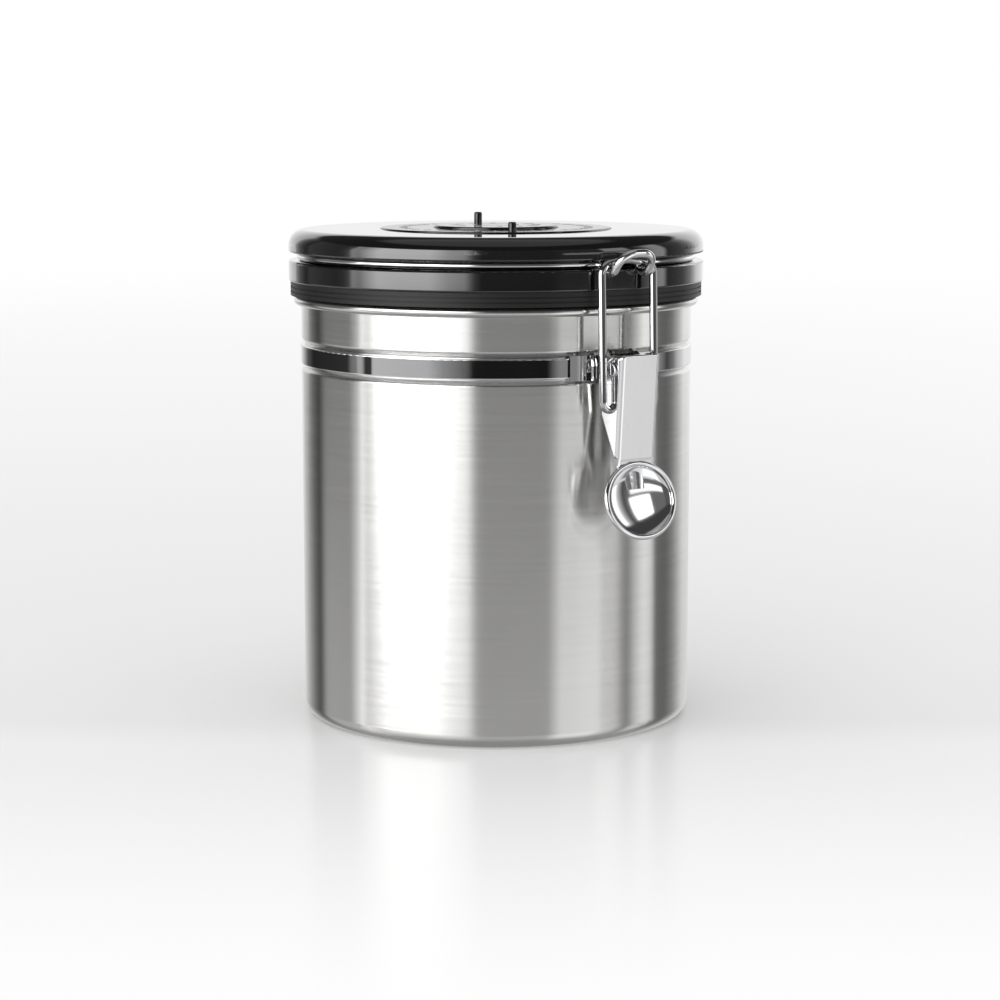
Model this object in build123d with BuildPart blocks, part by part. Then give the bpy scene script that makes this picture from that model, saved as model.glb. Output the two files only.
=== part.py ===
from build123d import *
from math import atan, cos, degrees, hypot, radians, sin, sqrt, tan
import os

# Coffee canister: a drawn steel can whose black lid clamps on a seal with a
# wire toggle latch, with two date dials on top and a one-way valve inside.
# Millimetres. +Z is up, the can's axis is Z, the floor is z = 0, the latch is
# on -Y and the hinge is on +Y.

# Clearances shared by the pieces
overrun = 2.0
seat_gap = 0.03
running_gap = 0.05
side_gap = 0.2
body_gap = 0.3

# Can
can_radius = 56.0
can_wall = 0.6
rim_top = 121.4
rim_flare = 2.0
foot_corner = 4.0
foot_width = 4.0
base_recess = 2.2
recess_slope = 3.0
recess_fillet = 1.2

# Neck band and the groove it lies in
band_height = 5.6
band_thickness = 1.25
band_drop = 16.6
band_proud = 0.25
band_edge = 0.35
band_split = 1.2
groove_margin = 0.35
groove_shoulder = 1.3
groove_fillet = 0.9

# Wire of the bail ring and of the link
wire_diameter = 2.2
wire_radius = wire_diameter / 2

# Lid
lid_overhang = 3.5
cover_height = 6.45
lid_edge = 4.6
lid_wall = 2.0
gasket_height = 4.0
gasket_inset = 0.5
gasket_squeeze = 0.15
lower_ring_height = 5.9
wire_groove_height = wire_diameter + 2 * running_gap
wire_groove_depth = 4.5
lip_fillet = 0.6
plug_depth = 3.4
plug_floor = 3.0
plug_neck_step = 1.4
plug_fillet = 1.0
rib_count = 2
rib_depth = 0.35
rib_height = 0.45
seal_channel_width = 2.6
seal_channel_depth = 1.6

# Hinge at the rear
hinge_out = 1.8
hinge_rise = 3.6
hinge_open = 110.0
hinge_barrel_length = 12.6
barrel_wall = 0.9
barrel_curl = 290.0
hinge_bend = 2.2
ring_bend = 2.6
rim_swing_gap = 0.4
stop_width = 2.4
stop_run = 4.7
stop_lip = 0.9

# Brackets on the band
bracket_thickness = 0.9
bracket_height = 6.8
bracket_width = 29.0

# Latch lever
pivot_out = 8.0
lever_width = 13.2
lever_sheet = 0.9
lever_bend = 1.3
web_top_out = 4.2
web_top_rise = 4.0
web_end_out = 2.2
web_end_drop = 24.2
flange_round = 3.9
flange_deep_in = 6.0
flange_deep_drop = 12.4
flange_end_depth = 2.4
flange_fillet = 1.6
ear_sheet = 1.2
ear_round = 2.8
ear_peak_rise = 4.8
ear_peak_out = 2.3
pin_diameter = 2.5
pin_head_diameter = 3.8
pin_head_height = 0.6

# Thumb tab at the end of the lever
tab_width = 24.0
tab_length = 21.6
tab_out = 4.2
tab_tilt = 14.0
tab_depth = 2.8
tab_lip_radius = 0.75
bowl_shares = [(0.0, 1.0), (0.35, 0.94), (0.7, 0.76), (0.92, 0.5), (1.0, 0.28)]
ridge_width = 9.6
ridge_length = 6.8
ridge_height = 1.3
ridge_end_share = 0.75
neck_length = 0.7208
neck_overlap = 3.0

# Link and hook
link_hole_in = 1.3
link_hole_drop = 10.9
link_half_width = 8.7
link_end_inside = 4.7
link_bend = 2.1
link_corner = 3.2
link_arch_rise = 1.5
link_arch_radius = 11.0
link_top_out = 2.2
link_top_rise = 0.1
hook_half_width = 5.6
hook_slope = 54.0
hook_tip_rise = 3.3
crook_gap = 0.45
hook_bend = 1.2
hook_tip_bend = 4.2

# Dials
dial_radius = 33.0
dial_recess = 1.3
dial_proud = 0.35
dial_inner_radius = 18.0
ledge_radius = 15.0
ledge_height = 0.75
month_radius = 17.6
month_proud = 1.0
month_edge = 0.4
cap_radius = 6.3
cap_thickness = 1.0
cap_stem_radius = 3.0
barb_step = 0.5
barb_length = 1.6
peg_radius = 1.15
peg_round = 0.5
date_peg_height = 2.7
month_peg_height = 3.1
date_peg_radius = 30.0
date_peg_angle = 243.6
month_peg_radius = 15.6
month_peg_angle = 74.6

# Valve and its housing
housing_radius = 12.0
housing_flange = 14.6
housing_flange_height = 1.2
housing_height = 6.4
housing_wall = 1.2
housing_web = 1.2
vent_radius = 1.2
vent_circle = 4.6
vent_count = 6
umbrella_radius = 7.4
umbrella_rise = 1.8
umbrella_edge = 0.6
stem_radius = 1.4
bulb_radius = 2.1
bulb_height = 0.8
seal_wire = 1.0
filter_thickness = 1.0
filter_hole = 2.6
grille_thickness = 1.5
slot_length = 11.0
slot_width = 1.6
slot_pitch = 3.4
slot_count = 5

# Screws that join the two halves of the lid
screw_circle = 36.0
screw_count = 4
screw_start = 45.0
cover_vent_circle = 10.0
cover_vent_count = 4
cover_vent_radius = 1.0
screw_radius = 1.4
screw_head_radius = 2.6
screw_head_height = 1.4
screw_length = 9.0
boss_radius = 3.2

# Levels and radii that follow
rim_radius = can_radius + rim_flare
band_mid = rim_top - band_drop
lid_radius = can_radius + lid_overhang
hinge_reach = lid_radius + hinge_out
hinge_height = band_mid + hinge_rise
pivot_reach = can_radius + pivot_out
groove_radius = can_radius + band_proud - band_thickness - seat_gap
band_outer = can_radius + band_proud
plate_inner = band_outer + seat_gap
plate_outer = plate_inner + bracket_thickness
plate_half_angle = degrees(bracket_width / 2 / plate_outer)
rim_tube = (rim_radius - (can_radius - can_wall)) / 2
rim_tube_radius = rim_radius - rim_tube
rim_tube_height = rim_top - rim_tube
gasket_bottom = rim_top + gasket_squeeze
gasket_top = gasket_bottom + gasket_height
gasket_radius = lid_radius - gasket_inset
seam = gasket_top + lower_ring_height
cover_bottom = seam + wire_groove_height
lid_top = cover_bottom + cover_height
wire_level = seam + wire_groove_height / 2
groove_floor = lid_radius - wire_groove_depth
ring_radius = groove_floor + running_gap + wire_radius
plug_bottom = rim_top - plug_depth
rim_swing = hypot(hinge_reach - rim_tube_radius, hinge_height - rim_tube_height) + rim_tube
plug_swing = rim_swing + rim_swing_gap
plug_radius = hinge_reach - sqrt(plug_swing**2 - (hinge_height - plug_bottom) ** 2)
neck_radius = plug_radius - plug_neck_step
plug_inner = neck_radius - lid_wall
plug_floor_top = plug_bottom + plug_floor
cavity_radius = groove_floor - lid_wall
recess_floor = lid_top - dial_recess
cover_ceiling = recess_floor - lid_wall
dial_bottom = recess_floor + running_gap
dial_top = lid_top + dial_proud
month_top = lid_top + month_proud
ledge_top = dial_bottom + ledge_height
barrel_radius = wire_radius + running_gap + barrel_wall
hinge_leg = hinge_barrel_length / 2 + hinge_bend + running_gap
pin_radius = pin_diameter / 2
flange_inner = lever_width / 2 - lever_sheet
ear_outer = flange_inner - side_gap
link_hole = (pivot_reach - link_hole_in, band_mid - link_hole_drop)
link_top_reach = lid_radius + link_top_out
link_top_height = wire_level + link_top_rise
bar_level = link_top_height + link_arch_rise * (1 - hook_half_width / link_half_width)

# Planes that look at the latch and at the hinge from the side, with local X
# pointing away from the can
latch_side = Plane(origin=(0, 0, 0), x_dir=(0, -1, 0), z_dir=(-1, 0, 0))
hinge_side = Plane.YZ

os.makedirs("parts", exist_ok=True)


# Can body
wall_top = rim_tube_height
recess_radius = can_radius - foot_corner - foot_width
groove_half = band_height / 2 + groove_margin
with BuildPart() as can_body:
    with BuildSketch(Plane.XZ) as outer_form:
        with BuildLine():
            FilletPolyline(
                (0, base_recess),
                (recess_radius - recess_slope, base_recess),
                (recess_radius, 0),
                (can_radius, 0),
                (can_radius, band_mid - groove_half - groove_shoulder),
                (groove_radius, band_mid - groove_half),
                (groove_radius, band_mid + groove_half),
                (can_radius, band_mid + groove_half + groove_shoulder),
                (can_radius, wall_top),
                (0, wall_top),
                radius=[0, recess_fillet, recess_fillet, foot_corner] + [groove_fillet] * 4 + [0, 0],
                close=True,
            )
        make_face()
    revolve(axis=Axis.Z)
    with BuildSketch(Plane.XZ):
        with Locations((rim_tube_radius, rim_tube_height)):
            Circle(rim_tube)
    revolve(axis=Axis.Z)
    with BuildSketch(Plane.XZ) as inner_form:
        offset(outer_form.sketch_local, amount=-can_wall, mode=Mode.ADD)
        with BuildLine():
            Polyline(
                (0, base_recess + can_wall),
                (can_wall + overrun, base_recess + can_wall),
                (can_wall + overrun, wall_top - can_wall - overrun),
                (can_radius - can_wall, wall_top - can_wall - overrun),
                (can_radius - can_wall, rim_top + overrun),
                (0, rim_top + overrun),
                close=True,
            )
        make_face()
    revolve(axis=Axis.Z, mode=Mode.SUBTRACT)

can_body.part.label = "can_body"
export_step(can_body.part, "parts/can_body.step")


# Neck band: a strap whose ends meet behind the latch plate
with BuildPart() as neck_band:
    with BuildSketch(Plane.XY.offset(band_mid)):
        Circle(band_outer)
        Circle(groove_radius + seat_gap, mode=Mode.SUBTRACT)
    extrude(amount=band_height / 2, both=True)
    fillet(neck_band.edges().filter_by(GeomType.CIRCLE).group_by(SortBy.RADIUS)[-1], radius=band_edge)
    with BuildSketch(Plane.XZ):
        with Locations((0, band_mid)):
            Rectangle(band_split, band_height + overrun)
    extrude(amount=band_outer + overrun, mode=Mode.SUBTRACT)

neck_band.part.label = "neck_band"
export_step(neck_band.part, "parts/neck_band.step")


# Latch bracket: a curved plate on the band, with two ears for the pin
ear_root = plate_inner + bracket_thickness / 2
ear_peak = band_mid + ear_peak_rise
with BuildPart() as latch_bracket:
    with BuildSketch(latch_side):
        with Locations(((plate_inner + plate_outer) / 2, band_mid)):
            Rectangle(bracket_thickness, bracket_height)
    revolve(axis=Axis.Z, revolution_arc=plate_half_angle)
    plate_end = latch_bracket.edges().filter_by(GeomType.LINE).sort_by(Axis.X)[0:1]
    fillet(plate_end, radius=bracket_thickness / 3)
    mirror(about=Plane.YZ)
    with BuildSketch(latch_side.offset(ear_outer - ear_sheet)):
        with BuildLine():
            FilletPolyline(
                (ear_root, band_mid - bracket_height / 2),
                (pivot_reach, band_mid - ear_round),
                (pivot_reach, band_mid + ear_round),
                (pivot_reach - ear_round, band_mid + ear_round),
                (can_radius + ear_peak_out, ear_peak),
                (ear_root, ear_peak),
                radius=[0, 0, 0, ear_round, bracket_thickness / 3, 0],
                close=True,
            )
        make_face()
        with Locations((pivot_reach, band_mid)):
            Circle(ear_round)
            Circle(pin_radius + seat_gap, mode=Mode.SUBTRACT)
    extrude(amount=ear_sheet)
    mirror(about=Plane.YZ)

latch_bracket.part.label = "latch_bracket"
export_step(latch_bracket.part, "parts/latch_bracket.step")


# Lever pin: a rivet with a head outside each flange of the lever
head_start = lever_width / 2 + running_gap
with BuildPart() as lever_pin:
    with BuildSketch(latch_side):
        with Locations((pivot_reach, band_mid)):
            Circle(pin_radius)
    extrude(amount=head_start + pin_head_height, both=True)
    for side in (1, -1):
        with BuildSketch(latch_side.offset(side * head_start)):
            with Locations((pivot_reach, band_mid)):
                Circle(pin_head_diameter / 2)
        extrude(amount=side * pin_head_height)
    rim_edges = lever_pin.edges().filter_by(GeomType.CIRCLE).sort_by(Axis.X)
    fillet([rim_edges[0], rim_edges[-1]], radius=pin_head_height / 2)

lever_pin.part.label = "lever_pin"
export_step(lever_pin.part, "parts/lever_pin.step")


# Latch lever: a channel with its open side towards the can, which ends in a
# bowl for the thumb with a rolled lip. Points are offsets from the pivot,
# outwards and up, and a bowl share is how wide the bowl still is at a depth.
def from_pivot(out, rise):
    return (pivot_reach + out, band_mid + rise)


web_tilt = atan((web_top_out - web_end_out) / (web_top_rise + web_end_drop))
web_step = lever_sheet / cos(web_tilt)
tab_angle = radians(tab_tilt)
tab_top_drop = web_end_drop + neck_length
tab_drop = tab_top_drop + tab_length / 2 * cos(tab_angle)
tab_plane = Plane(
    origin=(0, -(pivot_reach + tab_out), band_mid - tab_drop),
    x_dir=(1, 0, 0),
    z_dir=(0, -cos(tab_angle), sin(tab_angle)),
)
tab_top_out = tab_out - tab_length / 2 * sin(tab_angle)
lip_width = tab_width / 2 - tab_lip_radius
lip_length = tab_length / 2 - tab_lip_radius
with BuildPart() as latch_lever:
    with BuildSketch(latch_side):
        with BuildLine():
            FilletPolyline(
                from_pivot(web_top_out, web_top_rise),
                from_pivot(-flange_round, web_top_rise),
                from_pivot(-flange_round, -flange_round),
                from_pivot(-flange_deep_in, -flange_deep_drop),
                from_pivot(web_end_out - flange_end_depth, -web_end_drop),
                from_pivot(web_end_out, -web_end_drop),
                radius=[lever_sheet / 2, flange_round, flange_round, flange_fillet, flange_fillet / 2, 0],
                close=True,
            )
        make_face()
    extrude(amount=lever_width / 2, both=True)
    web_face = latch_lever.faces().sort_by(Axis.Y)[0]
    bends = web_face.edges().filter_by(lambda e: abs(e.tangent_at(0).X) < 0.5)
    fillet(bends, radius=lever_bend)
    with BuildSketch(latch_side):
        with BuildLine():
            Polyline(
                from_pivot(web_top_out - web_step, web_top_rise),
                from_pivot(web_end_out - web_step, -web_end_drop),
                from_pivot(web_end_out - web_step - flange_end_depth, -web_end_drop - overrun),
                from_pivot(-flange_deep_in - overrun, -web_end_drop - overrun),
                from_pivot(-flange_deep_in - overrun, web_top_rise + overrun),
                from_pivot(web_top_out - web_step, web_top_rise + overrun),
                close=True,
            )
        make_face()
    extrude(amount=flange_inner, both=True, mode=Mode.SUBTRACT)
    with BuildSketch(latch_side):
        with BuildLine():
            Polyline(
                from_pivot(web_end_out, -web_end_drop + lever_sheet),
                from_pivot(web_end_out - web_step, -web_end_drop + lever_sheet),
                from_pivot(tab_top_out - web_step, -tab_top_drop - neck_overlap),
                from_pivot(tab_top_out, -tab_top_drop - neck_overlap),
                from_pivot(tab_top_out + lever_sheet / 3, -tab_top_drop),
                close=True,
            )
        make_face()
    extrude(amount=lever_width / 2 - lever_bend, both=True)
    for side, bowl_mode in ((1, Mode.ADD), (-1, Mode.SUBTRACT)):
        half_sheet = side * lever_sheet / 2
        for depth_share, width_share in bowl_shares:
            with BuildSketch(tab_plane.offset(-(tab_depth + half_sheet) * depth_share)):
                Ellipse((lip_width + half_sheet) * width_share, (lip_length + half_sheet) * width_share)
        loft(mode=bowl_mode)
    for reach, size_share in ((lip_length, 1), (lip_length - ridge_length, ridge_end_share)):
        ridge_middle = tab_plane.from_local_coords((0, reach, lever_sheet / 2 - tab_depth))
        with BuildSketch(Plane(origin=ridge_middle, x_dir=(1, 0, 0), z_dir=tab_plane.y_dir)):
            Ellipse(ridge_width / 2 * size_share, ridge_height * size_share)
    loft()
    with BuildSketch(tab_plane, mode=Mode.PRIVATE) as lip_form:
        Ellipse(lip_width, lip_length)
    lip_edge = lip_form.sketch.edges()[0]
    with BuildSketch(Plane(origin=lip_edge @ 0, z_dir=lip_edge % 0)):
        Circle(tab_lip_radius)
    sweep(path=lip_edge)
    for side in (1, -1):
        with BuildSketch(latch_side.offset(side * (flange_inner - overrun))):
            with Locations((pivot_reach, band_mid)):
                Circle(pin_radius + running_gap)
            with Locations(link_hole):
                Circle(wire_radius + running_gap)
        extrude(amount=side * (lever_sheet + 2 * overrun), mode=Mode.SUBTRACT)

latch_lever.part.label = "latch_lever"
export_step(latch_lever.part, "parts/latch_lever.step")


# Latch link: one wire, arched over the top and turned into the lever's holes
def on_link(across, height):
    share = (height - link_hole[1]) / (link_top_height - link_hole[1])
    return (across, -(link_hole[0] + share * (link_top_reach - link_hole[0])), height)


with BuildPart() as latch_link:
    with BuildLine() as link_wire:
        FilletPolyline(
            on_link(-link_end_inside, link_hole[1]),
            on_link(-link_half_width, link_hole[1]),
            on_link(-link_half_width, link_top_height),
            on_link(0, link_top_height + link_arch_rise),
            on_link(link_half_width, link_top_height),
            on_link(link_half_width, link_hole[1]),
            on_link(link_end_inside, link_hole[1]),
            radius=[link_bend, link_corner, link_arch_radius, link_corner, link_bend],
        )
    with BuildSketch(Plane(origin=link_wire.line @ 0, z_dir=link_wire.line % 0)):
        Circle(wire_radius)
    sweep()

latch_link.part.label = "latch_link"
export_step(latch_link.part, "parts/latch_link.step")


# Hinge bracket: a plate with a rolled barrel for the wire ends, and a lug on
# each side where the legs of the wire come to rest when the lid is open
fall = radians(hinge_open - 90)
stop_reach = hinge_reach + stop_run
stop_gap = wire_radius + body_gap


def under_open_leg(reach):
    drop = (reach - hinge_reach) * tan(fall) + stop_gap / cos(fall)
    return (reach, hinge_height - drop)


plate_root = plate_inner + bracket_thickness / 3
barrel_centre = (hinge_reach, hinge_height)
barrel_foot = hinge_height - barrel_radius
stop_foot = band_mid - bracket_height / 2 + stop_lip
with BuildPart() as hinge_bracket:
    with BuildSketch(hinge_side):
        with Locations(((plate_inner + plate_outer) / 2, band_mid)):
            Rectangle(bracket_thickness, bracket_height)
    revolve(axis=Axis.Z, revolution_arc=plate_half_angle)
    mirror(about=Plane.YZ)
    with BuildSketch(hinge_side):
        with BuildLine():
            strip_under = Line((plate_root, barrel_foot), (hinge_reach, barrel_foot))
            outer_curl = CenterArc(barrel_centre, barrel_radius, -90, barrel_curl)
            inner_curl = CenterArc(barrel_centre, barrel_radius - barrel_wall, -90, barrel_curl)
            Line(outer_curl @ 1, inner_curl @ 1)
            strip_over = Line(inner_curl @ 0, (plate_root, barrel_foot + barrel_wall))
            Line(strip_over @ 1, strip_under @ 0)
        make_face()
    extrude(amount=hinge_barrel_length / 2, both=True)
    for side in (1, -1):
        with BuildSketch(hinge_side.offset(side * hinge_leg - stop_width / 2)):
            with BuildLine():
                FilletPolyline(
                    (plate_root, stop_foot),
                    (hinge_reach, stop_foot + stop_lip),
                    (stop_reach, under_open_leg(stop_reach)[1] - stop_lip),
                    under_open_leg(stop_reach),
                    under_open_leg(hinge_reach - wire_radius),
                    (plate_root, under_open_leg(hinge_reach - wire_radius)[1]),
                    radius=[0, barrel_radius, stop_lip / 3, stop_lip / 3, 0, 0],
                    close=True,
                )
            make_face()
        extrude(amount=stop_width)

hinge_bracket.part.label = "hinge_bracket"
export_step(hinge_bracket.part, "parts/hinge_bracket.step")


# Bail ring: one wire from barrel to barrel, round the lid and out to the hook.
# A bend that leaves the ring touches both the ring and the straight run, and
# the hook curls under the link's bar with a gap all along it.
def ring_exit(across, bend):
    centre = (across + bend, sqrt((ring_radius + bend) ** 2 - (across + bend) ** 2))
    share = ring_radius / (ring_radius + bend)
    return centre, (centre[0] * share, centre[1] * share)


rear_centre, rear_touch = ring_exit(hinge_leg, ring_bend)
front_centre, front_touch = ring_exit(hook_half_width, ring_bend)
rear_turn = degrees(atan(rear_centre[1] / rear_centre[0]))
front_turn = degrees(atan(front_centre[1] / front_centre[0]))
hook_tangent = tan(radians(hook_slope))
crook_radius = wire_diameter + crook_gap
crook_level = bar_level - crook_radius / cos(radians(hook_slope))
hook_tip_height = wire_level + hook_tip_rise
hook_tip_reach = link_top_reach + (hook_tip_height - crook_level) / hook_tangent
hook_shape = [
    (front_centre[1], wire_level),
    (link_top_reach - (wire_level - crook_level) / hook_tangent, wire_level),
    (link_top_reach, crook_level),
    (hook_tip_reach, hook_tip_height),
]
ring_plane = Plane.XY.offset(wire_level)
with BuildPart() as bail_ring:
    with BuildLine() as half_wire:
        FilletPolyline(
            (running_gap, hinge_reach, hinge_height),
            (hinge_leg, hinge_reach, hinge_height),
            (hinge_leg, hinge_reach, wire_level),
            (hinge_leg, rear_centre[1], wire_level),
            radius=[hinge_bend, hinge_bend],
        )
        with BuildLine(ring_plane):
            CenterArc(rear_centre, ring_bend, 180, rear_turn)
            CenterArc((0, 0), ring_radius, rear_turn, -rear_turn - front_turn)
            CenterArc((front_centre[0], -front_centre[1]), ring_bend, 180 - front_turn, front_turn)
        FilletPolyline(
            [(hook_half_width, -reach, height) for reach, height in hook_shape]
            + [(0, -hook_tip_reach, hook_tip_height)],
            radius=[hook_bend, crook_radius, hook_tip_bend],
        )
    with BuildSketch(Plane(origin=half_wire.line @ 0, z_dir=half_wire.line % 0)):
        Circle(wire_radius)
    sweep()
    mirror(about=Plane.YZ)

bail_ring.part.label = "bail_ring"
export_step(bail_ring.part, "parts/bail_ring.step")


# Point at an angle round the can's axis
def around(radius, angle):
    return (radius * cos(radians(angle)), radius * sin(radians(angle)))


# Lid cover: the upper disc, hollow below, with the recess for the dials. Its
# lower step is the floor of the groove for the wire.
stem_hole = cap_stem_radius + seat_gap
recess_radius_top = dial_radius + side_gap
with BuildPart() as lid_cover:
    with BuildSketch(Plane.XZ):
        with BuildLine():
            FilletPolyline(
                (stem_hole, recess_floor),
                (recess_radius_top, recess_floor),
                (recess_radius_top, lid_top),
                (lid_radius, lid_top),
                (lid_radius, cover_bottom),
                (groove_floor, cover_bottom),
                (groove_floor, seam),
                (cavity_radius, seam),
                (cavity_radius, cover_ceiling),
                (stem_hole, cover_ceiling),
                radius=[0, 0, 0, lid_edge, lip_fillet, 0, 0, 0, lid_wall, 0],
                close=True,
            )
        make_face()
    revolve(axis=Axis.Z)
    with BuildSketch(Plane.XY.offset(plug_floor_top)):
        with PolarLocations(screw_circle, screw_count, start_angle=screw_start):
            Circle(boss_radius)
    extrude(amount=cover_ceiling - plug_floor_top + lid_wall / 2)
    with BuildSketch(Plane.XY.offset(plug_floor_top)):
        with PolarLocations(screw_circle, screw_count, start_angle=screw_start):
            Circle(screw_radius + seat_gap)
    extrude(amount=screw_length, mode=Mode.SUBTRACT)
    with BuildSketch(Plane.XY.offset(cover_ceiling)):
        with PolarLocations(cover_vent_circle, cover_vent_count):
            Circle(cover_vent_radius)
    extrude(amount=lid_wall + overrun, mode=Mode.SUBTRACT)

lid_cover.part.label = "lid_cover"
export_step(lid_cover.part, "parts/lid_cover.step")


# Lid base: the lower ring with the plug under it. The plug is no wider than
# lets its rear corner swing clear of the can's rim, and the ring has a notch
# where each end of the wire turns down to the hook.
flange_seat = housing_flange_height + seal_wire
housing_hole = housing_radius + seat_gap
flange_hole = housing_flange + seat_gap
head_seat = screw_head_height + running_gap
notch_reach, notch_level = hook_shape[1]
notch_slope = radians(hook_slope)
with BuildPart() as lid_base:
    with BuildSketch(Plane.XZ):
        with BuildLine():
            FilletPolyline(
                (housing_hole, plug_bottom + flange_seat),
                (flange_hole, plug_bottom + flange_seat),
                (flange_hole, plug_bottom),
                (plug_radius, plug_bottom),
                (plug_radius, gasket_bottom),
                (neck_radius, gasket_bottom),
                (neck_radius, gasket_top),
                (lid_radius, gasket_top),
                (lid_radius, seam),
                (plug_inner, seam),
                (plug_inner, plug_floor_top),
                (housing_hole, plug_floor_top),
                radius=[0, 0, 0, plug_fillet, 0, 0, 0, lip_fillet, lip_fillet, 0, lid_wall, 0],
                close=True,
            )
        make_face()
    revolve(axis=Axis.Z)
    with BuildSketch(Plane.XY.offset(plug_bottom)):
        with PolarLocations(screw_circle, screw_count, start_angle=screw_start):
            Circle(screw_head_radius + side_gap)
    extrude(amount=head_seat, mode=Mode.SUBTRACT)
    with BuildSketch(Plane.XY.offset(plug_bottom)):
        with PolarLocations(screw_circle, screw_count, start_angle=screw_start):
            Circle(screw_radius + running_gap)
    extrude(amount=plug_floor + overrun, mode=Mode.SUBTRACT)
    for side in (1, -1):
        notch_plane = Plane(
            origin=(side * hook_half_width, -notch_reach, notch_level),
            z_dir=(0, -cos(notch_slope), -sin(notch_slope)),
        )
        with BuildSketch(notch_plane):
            Circle(wire_radius + running_gap)
        extrude(amount=wire_diameter + overrun, mode=Mode.SUBTRACT)

lid_base.part.label = "lid_base"
export_step(lid_base.part, "parts/lid_base.step")


# Lid gasket: a ring held round the neck of the plug, ribbed outside, with a
# channel that lets its sealing face give
channel_start = neck_radius + lid_wall
rib_pitch = gasket_height / (rib_count + 1)
with BuildPart() as lid_gasket:
    with BuildSketch(Plane.XZ):
        with BuildLine():
            Polyline(
                (neck_radius + seat_gap, gasket_bottom + seat_gap),
                (gasket_radius, gasket_bottom + seat_gap),
                (gasket_radius, gasket_top),
                (neck_radius + seat_gap, gasket_top),
                close=True,
            )
        make_face()
        with Locations((channel_start + seal_channel_width / 2, gasket_bottom)):
            Rectangle(seal_channel_width, 2 * seal_channel_depth, mode=Mode.SUBTRACT)
        for rib in range(rib_count):
            with Locations((gasket_radius, gasket_bottom + (rib + 1) * rib_pitch)):
                Rectangle(2 * rib_depth, rib_height, mode=Mode.SUBTRACT)
    revolve(axis=Axis.Z)

lid_gasket.part.label = "lid_gasket"
export_step(lid_gasket.part, "parts/lid_gasket.step")


# Lid screws: driven up from the underside into the bosses of the cover
with BuildPart() as lid_screws:
    with BuildSketch(Plane.XY.offset(plug_bottom + head_seat - screw_head_height)):
        with PolarLocations(screw_circle, screw_count, start_angle=screw_start):
            Circle(screw_head_radius)
    extrude(amount=screw_head_height)
    chamfer(lid_screws.faces().group_by(Axis.Z)[0].edges(), length=screw_head_height / 4)
    with BuildSketch(Plane.XY.offset(plug_bottom + head_seat)):
        with PolarLocations(screw_circle, screw_count, start_angle=screw_start):
            Circle(screw_radius)
    extrude(amount=screw_length)

lid_screws.part.label = "lid_screws"
export_step(lid_screws.part, "parts/lid_screws.step")


# Date dial: a flat ring with an inner ledge that the month dial holds down
with BuildPart() as date_dial:
    with BuildSketch(Plane.XZ):
        with BuildLine():
            FilletPolyline(
                (ledge_radius, dial_bottom),
                (dial_radius, dial_bottom),
                (dial_radius, dial_top),
                (dial_inner_radius, dial_top),
                (dial_inner_radius, ledge_top),
                (ledge_radius, ledge_top),
                radius=[0, 0, dial_proud, dial_proud / 2, 0, 0],
                close=True,
            )
        make_face()
    revolve(axis=Axis.Z)
    with BuildSketch(Plane.XY.offset(dial_top - peg_round)):
        with Locations(around(date_peg_radius, date_peg_angle)):
            Circle(peg_radius)
    extrude(amount=date_peg_height + peg_round)
    fillet(date_dial.faces().sort_by(Axis.Z)[-1].edges(), radius=peg_round)

date_dial.part.label = "date_dial"
export_step(date_dial.part, "parts/date_dial.step")


# Month dial: the raised inner disc, whose hub turns inside the date dial
month_floor = ledge_top + side_gap
cap_seat = month_top - cap_thickness - running_gap
month_bore = cap_stem_radius + running_gap
with BuildPart() as month_dial:
    with BuildSketch(Plane.XZ):
        with BuildLine():
            FilletPolyline(
                (month_bore, dial_bottom),
                (ledge_radius - side_gap, dial_bottom),
                (ledge_radius - side_gap, month_floor),
                (month_radius, month_floor),
                (month_radius, month_top),
                (cap_radius + side_gap, month_top),
                (cap_radius + side_gap, cap_seat),
                (month_bore, cap_seat),
                radius=[0, 0, 0, 0, month_edge, month_edge / 2, 0, 0],
                close=True,
            )
        make_face()
    revolve(axis=Axis.Z)
    with BuildSketch(Plane.XY.offset(month_top - peg_round)):
        with Locations(around(month_peg_radius, month_peg_angle)):
            Circle(peg_radius)
    extrude(amount=month_peg_height + peg_round)
    fillet(month_dial.faces().sort_by(Axis.Z)[-1].edges(), radius=peg_round)

month_dial.part.label = "month_dial"
export_step(month_dial.part, "parts/month_dial.step")


# Dial cap: its stem snaps through the lid and is the axle of the month dial
barb_top = cover_ceiling - seat_gap
with BuildPart() as dial_cap:
    with BuildSketch(Plane.XZ):
        with BuildLine():
            FilletPolyline(
                (0, month_top),
                (cap_radius, month_top),
                (cap_radius, month_top - cap_thickness),
                (cap_stem_radius, month_top - cap_thickness),
                (cap_stem_radius, barb_top),
                (cap_stem_radius + barb_step, barb_top),
                (cap_stem_radius - barb_step, barb_top - barb_length),
                (0, barb_top - barb_length),
                radius=[0, month_edge, 0, 0, 0, 0, 0, 0],
                close=True,
            )
        make_face()
    revolve(axis=Axis.Z)

dial_cap.part.label = "dial_cap"
export_step(dial_cap.part, "parts/dial_cap.step")


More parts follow.
